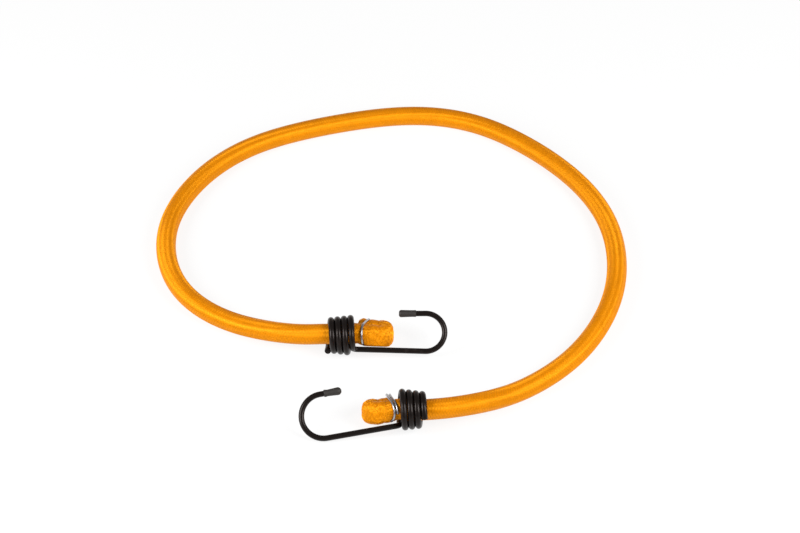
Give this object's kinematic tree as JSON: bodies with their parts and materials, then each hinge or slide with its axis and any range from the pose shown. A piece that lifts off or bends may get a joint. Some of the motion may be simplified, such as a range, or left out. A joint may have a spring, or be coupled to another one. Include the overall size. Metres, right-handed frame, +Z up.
{
  "type": "bungee cord",
  "caption": "Elastic cord in a braided cover, lying in an open loop; each end is folded back, clamped by a wire ring and carries a swivelling wire hook with a capped tip.",
  "frame": {"origin": "on the table under the cord, midway between the two hooks: the bottom centre of the box round the hooks, caps and rings", "axes": "+Z up, +X along both coils' axes towards the side that hook a points to, +Y away from the hooks towards the far side of the cord's loop"},
  "size_m": [0.196, 0.1917, 0.0166],
  "materials": {
    "cord_cover": "tightly braided polyester sleeve, orange, slightly satin",
    "rubber_core": "natural latex threads, matte cream",
    "hook_wire": "black coated steel wire, semi-gloss",
    "tip_cap": "dipped black vinyl, matte",
    "clamp_ring": "bright zinc-plated steel wire"
  },
  "bodies": {
    "root": {"braided_cover": "cord_cover", "rubber_thread_01": "rubber_core", "rubber_thread_02": "rubber_core", "rubber_thread_03": "rubber_core", "rubber_thread_04": "rubber_core", "rubber_thread_05": "rubber_core", "rubber_thread_06": "rubber_core", "rubber_thread_07": "rubber_core", "rubber_thread_08": "rubber_core", "rubber_thread_09": "rubber_core", "rubber_thread_10": "rubber_core", "rubber_thread_11": "rubber_core", "rubber_thread_12": "rubber_core", "rubber_thread_13": "rubber_core", "rubber_thread_14": "rubber_core", "rubber_thread_15": "rubber_core", "rubber_thread_16": "rubber_core", "rubber_thread_17": "rubber_core", "rubber_thread_18": "rubber_core", "rubber_thread_19": "rubber_core", "rubber_thread_20": "rubber_core", "rubber_thread_21": "rubber_core", "clamp_ring_a": "clamp_ring", "clamp_ring_b": "clamp_ring"},
    "hook_a": {"hook_a_wire": "hook_wire", "tip_cap_a": "tip_cap"},
    "hook_b": {"hook_b_wire": "hook_wire", "tip_cap_b": "tip_cap"}
  },
  "joints": [
    {"name": "hook_a_swivel", "type": "hinge", "parent": "root", "child": "hook_a", "pos_m": [-0.0035, 0.0199, 0.00873], "axis": [-1, 0, 0], "range_deg": [-36, 178]},
    {"name": "hook_b_swivel", "type": "hinge", "parent": "root", "child": "hook_b", "pos_m": [0.00695, -0.0204, 0.00873], "axis": [-1, 0, 0], "range_deg": [-40, 185]}
  ]
}
